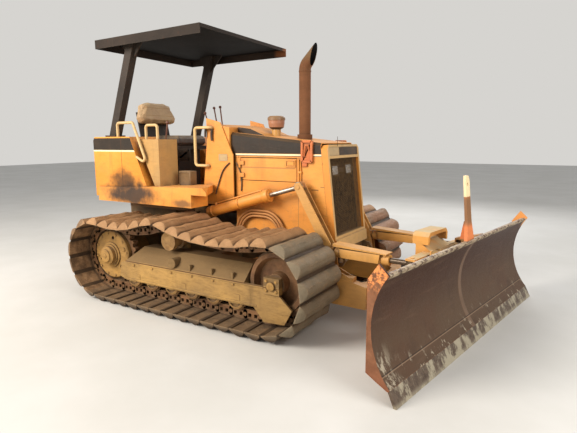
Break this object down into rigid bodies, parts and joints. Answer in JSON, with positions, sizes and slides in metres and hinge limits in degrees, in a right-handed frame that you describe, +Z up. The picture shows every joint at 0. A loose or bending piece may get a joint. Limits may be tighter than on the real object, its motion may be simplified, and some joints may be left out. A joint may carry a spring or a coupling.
{
  "type": "bulldozer",
  "caption": "Small crawler bulldozer with wide triangular swamp shoes, an open canopy on two posts, a sloping hood and an angled, tilting dozer blade.",
  "frame": {"origin": "on the ground under the tracks, on the machine's centre line, midway between sprocket and idler axles", "axes": "+X forward towards the blade, +Y to the machine's left, +Z up"},
  "size_m": [4.2485, 2.7564, 2.603],
  "materials": {
    "yellow_paint": "sun-faded gloss with dust and scratches",
    "frame_paint": "dusty worn paint with dried mud",
    "track_steel": "dusty worn steel",
    "chain_rust": "rusty and oily",
    "blade_rust": "dark rusty paint, scoured",
    "edge_steel": "scraped bare steel",
    "black_paint": "matte, dusty",
    "pale_trim": "cream paint, faded",
    "mesh_dark": "dark wire mesh",
    "lamp_white": "dusty lens",
    "exhaust_rust": "heat rusted",
    "bowl_red": "dusty bowl",
    "vinyl_tan": "dusty worn vinyl",
    "chrome_rod": "polished rod",
    "hose_black": "dusty hose",
    "engine_grey": "oily casting",
    "lever_red": "dark red levers"
  },
  "bodies": {
    "machine": {"main_frame": "frame_paint", "track_frames": "frame_paint", "track_right": "track_steel", "track_left": "track_steel", "sprockets": "chain_rust", "final_drives": "frame_paint", "idlers": "chain_rust", "rollers": "chain_rust", "engine": "engine_grey", "radiator": "mesh_dark", "hood": "yellow_paint", "side_panels": "yellow_paint", "radiator_guard": "pale_trim", "grille": "mesh_dark", "lamps": "lamp_white", "exhaust": "exhaust_rust", "precleaner": "bowl_red", "cowl": "yellow_paint", "platform": "yellow_paint", "rear_body": "yellow_paint", "seat_base": "black_paint", "seat_cushion": "vinyl_tan", "seat_back": "vinyl_tan", "consoles": "yellow_paint", "controls": "lever_red", "handrails": "pale_trim", "rops_posts": "black_paint", "canopy": "black_paint", "hoses": "hose_black"},
    "push_frame": {"c_frame": "frame_paint"},
    "yoke": {"yoke": "frame_paint"},
    "blade": {"blade": "blade_rust", "cutting_edge": "edge_steel", "marker_post": "pale_trim"},
    "lift_cylinders": {"lift_cylinders": "yellow_paint"},
    "lift_rods": {"lift_rods": "chrome_rod"},
    "angle_cylinder_right": {"angle_cylinder_right": "frame_paint"},
    "angle_rod_right": {"angle_rod_right": "chrome_rod"},
    "angle_cylinder_left": {"angle_cylinder_left": "frame_paint"},
    "angle_rod_left": {"angle_rod_left": "chrome_rod"},
    "tilt_cylinder": {"tilt_cylinder": "frame_paint"},
    "tilt_rod": {"tilt_rod": "chrome_rod"},
    "door_right": {"door_right": "yellow_paint"},
    "door_left": {"door_left": "yellow_paint"}
  },
  "joints": [
    {"name": "blade_lift", "type": "hinge", "parent": "machine", "child": "push_frame", "pos_m": [0.5, 0, 0.4], "axis": [0, -1, 0], "range_deg": [-10, 16]},
    {"name": "blade_angle", "type": "hinge", "parent": "push_frame", "child": "yoke", "pos_m": [1.79, 0, 0.35], "axis": [0, 0, 1], "range_deg": [-14.7, 35.3]},
    {"name": "blade_tilt", "type": "hinge", "parent": "yoke", "child": "blade", "pos_m": [2.27997, -0.08904, 0.35], "axis": [0.9839, -0.1788, 0], "range_deg": [-6.5, 6.5]},
    {"name": "lift_cylinder_swing", "type": "hinge", "parent": "machine", "child": "lift_cylinders", "pos_m": [-0.123, 0, 0.866], "axis": [0, -1, 0], "range_deg": [-6.01, 9.62]},
    {"name": "lift_rod_slide", "type": "slide", "parent": "lift_cylinders", "child": "lift_rods", "axis": [0.961, 0, 0.2766], "range_m": [-0.18054, 0.11284]},
    {"name": "angle_cylinder_swing_right", "type": "hinge", "parent": "push_frame", "child": "angle_cylinder_right", "pos_m": [1.29, -0.435, 0.64], "axis": [0, 0, 1], "range_deg": [-5.86, 14.06]},
    {"name": "angle_rod_slide_right", "type": "slide", "parent": "angle_cylinder_right", "child": "angle_rod_right", "axis": [0.9957, -0.0925, 0], "range_m": [-0.11649, 0.27974]},
    {"name": "angle_cylinder_swing_left", "type": "hinge", "parent": "push_frame", "child": "angle_cylinder_left", "pos_m": [1.29, 0.435, 0.64], "axis": [0, 0, 1], "range_deg": [-5.94, 14.27]},
    {"name": "angle_rod_slide_left", "type": "slide", "parent": "angle_cylinder_left", "child": "angle_rod_left", "axis": [0.9989, -0.0467, 0], "range_m": [-0.28124, 0.11712]},
    {"name": "tilt_cylinder_swing", "type": "hinge", "parent": "yoke", "child": "tilt_cylinder", "pos_m": [2.13402, -0.3217, 0.69], "axis": [0.9839, -0.1788, 0], "range_deg": [-3.19, 3.19]},
    {"name": "tilt_rod_slide", "type": "slide", "parent": "tilt_cylinder", "child": "tilt_rod", "axis": [0.1788, 0.9839, 0], "range_m": [-0.03933, 0.03933]},
    {"name": "door_swing_right", "type": "hinge", "parent": "machine", "child": "door_right", "pos_m": [0.247, -0.349, 1.212], "axis": [0, 0, -1], "range_deg": [0, 95]},
    {"name": "door_swing_left", "type": "hinge", "parent": "machine", "child": "door_left", "pos_m": [0.247, 0.349, 1.212], "axis": [0, 0, 1], "range_deg": [0, 95]}
  ],
  "couplings": [
    {"joint": "lift_cylinder_swing", "follows": "blade_lift", "ratio": 0.58969},
    {"joint": "lift_rod_slide", "follows": "blade_lift", "m_per_rad": -0.63384},
    {"joint": "angle_cylinder_swing_right", "follows": "blade_angle", "ratio": 0.39057},
    {"joint": "angle_rod_slide_right", "follows": "blade_angle", "m_per_rad": 0.44514},
    {"joint": "angle_cylinder_swing_left", "follows": "blade_angle", "ratio": 0.39641},
    {"joint": "angle_rod_slide_left", "follows": "blade_angle", "m_per_rad": -0.44753},
    {"joint": "tilt_cylinder_swing", "follows": "blade_tilt", "ratio": 0.48097},
    {"joint": "tilt_rod_slide", "follows": "blade_tilt", "m_per_rad": -0.33989}
  ]
}
